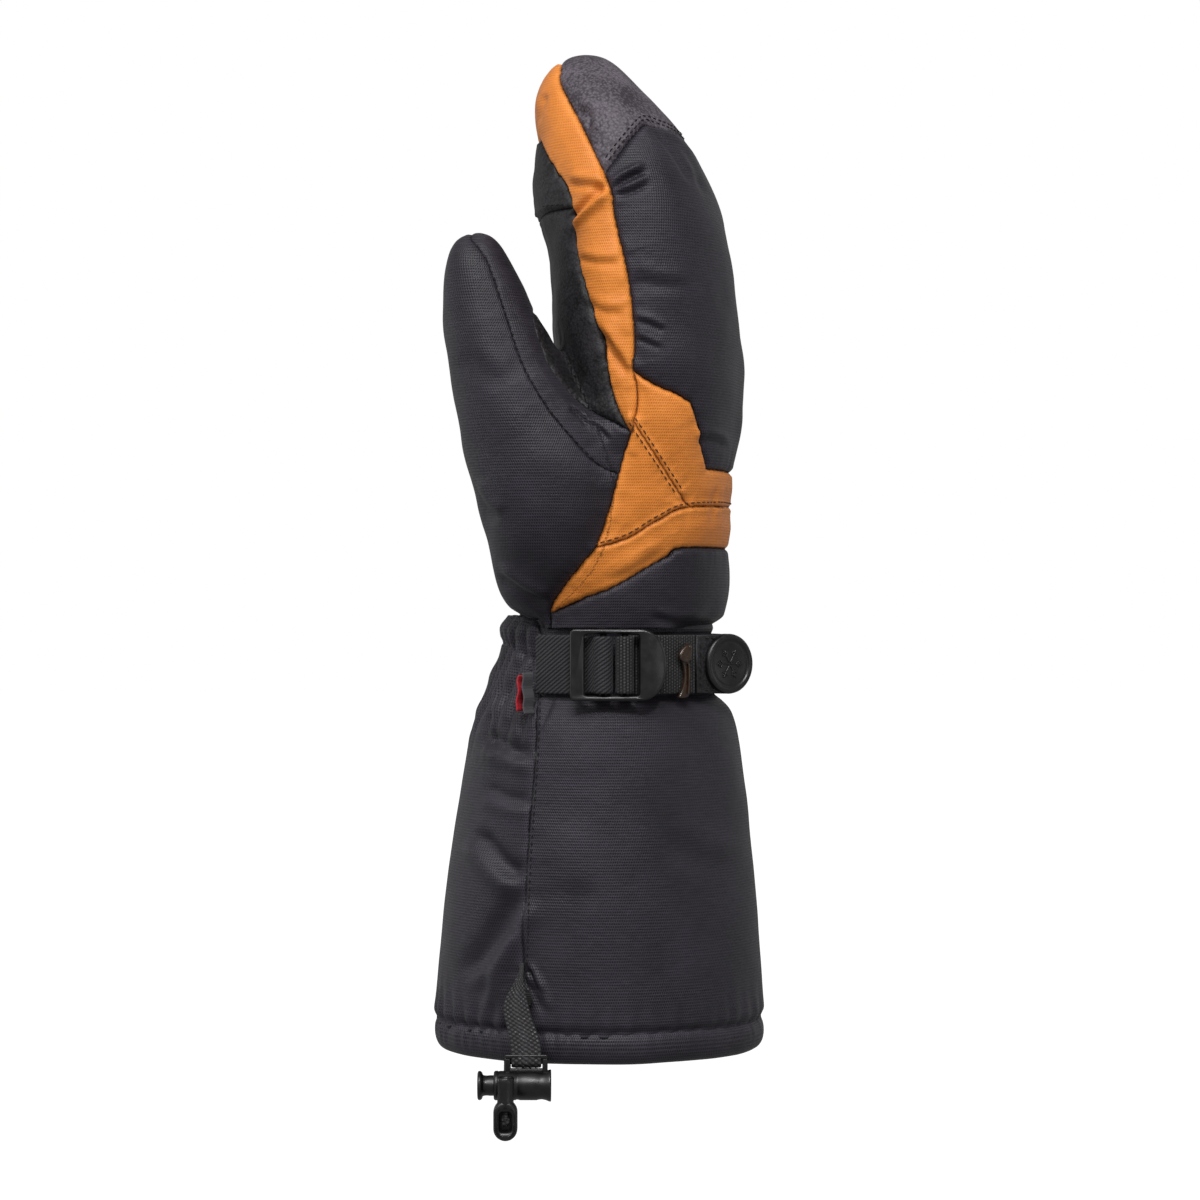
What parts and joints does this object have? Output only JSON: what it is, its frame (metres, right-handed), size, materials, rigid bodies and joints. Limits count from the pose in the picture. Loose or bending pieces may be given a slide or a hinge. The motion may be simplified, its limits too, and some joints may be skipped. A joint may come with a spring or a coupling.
{
  "type": "ski mitten",
  "caption": "Right-hand insulated gauntlet ski mitten with a leather palm, contrast finger gusset, buckled wrist strap and a cord lock at the hem.",
  "frame": {"origin": "middle of the cuff's mouth, level with the bottom of the hem", "axes": "+Z from the mouth to the fingertips, +X towards the back of the hand, -Y towards the thumb's side"},
  "size_m": [0.1196, 0.1238, 0.378],
  "materials": {
    "shell": "matt woven nylon",
    "orange": "matt woven nylon",
    "leather": "fine grain, satin",
    "lining": "brushed fleece",
    "membrane": "smooth film on a light knit",
    "insulation": "lofted fibre",
    "webbing": "ribbed webbing and cord",
    "plastic": "satin moulded",
    "smoke": "dark translucent brown",
    "red": "woven ribbon",
    "steel": "plated spring wire"
  },
  "bodies": {
    "mitten": {"palm_panel": "leather", "palm_tip_patch": "leather", "finger_gusset": "orange", "back_panel": "shell", "fingertip_cap": "leather", "knuckle_band_thumb_side": "orange", "knuckle_band_little_side": "orange", "knuckle_band_back": "orange", "knuckle_band_lower": "orange", "wrist_back_panel": "shell", "thumb_outer_panel": "shell", "thumb_inner_panel": "shell", "thumb_pad": "leather", "cuff_palm_panel": "shell", "cuff_back_panel": "shell", "hem_band": "shell", "membrane_insert": "membrane", "insulation_hand": "insulation", "fleece_lining": "lining", "cuff_insulation": "insulation", "cuff_lining": "lining", "wrist_elastic": "webbing", "hem_drawcord": "webbing", "elastic_band": "webbing", "elastic_loop": "webbing", "webbing_strap": "webbing", "size_label": "red", "side_label": "webbing", "lock_tether": "webbing", "drawcord_tail": "webbing"},
    "buckle": {"buckle_frame": "plastic", "webbing_bight": "webbing"},
    "pull_tail": {"strap_tail": "webbing", "badge_tab": "leather", "badge_disc": "plastic", "pair_hook": "smoke"},
    "cord_lock": {"lock_body": "plastic", "lock_spring": "steel"},
    "plunger": {"lock_plunger": "plastic"},
    "cord_pull": {"cord_end": "plastic", "cord_knot": "webbing"}
  },
  "joints": [
    {"name": "buckle_lift", "type": "hinge", "parent": "mitten", "child": "buckle", "pos_m": [0.0014, -0.0454, 0.1377], "axis": [0, 0, -1], "range_deg": [0, 12], "stiffness_Nm_per_rad": 0.02},
    {"name": "strap_pull", "type": "hinge", "parent": "mitten", "child": "pull_tail", "pos_m": [0.0018, 0, 0.1377], "axis": [0, 0, 1], "range_deg": [0, 12]},
    {"name": "lock_swing", "type": "hinge", "parent": "mitten", "child": "cord_lock", "pos_m": [-0.0266, -0.0538, 0.002], "axis": [-1, 0, 0], "range_deg": [0, 60], "deforming": ["drawcord_tail"]},
    {"name": "plunger_press", "type": "slide", "parent": "cord_lock", "child": "plunger", "axis": [1, 0, 0], "range_m": [0, 0.003], "stiffness_N_per_m": 400, "springref_m": -0.002, "deforming": ["lock_spring"]},
    {"name": "cord_draw", "type": "slide", "parent": "cord_lock", "child": "cord_pull", "axis": [0, 0, -1], "range_m": [0, 0.025], "deforming": ["drawcord_tail"]}
  ]
}
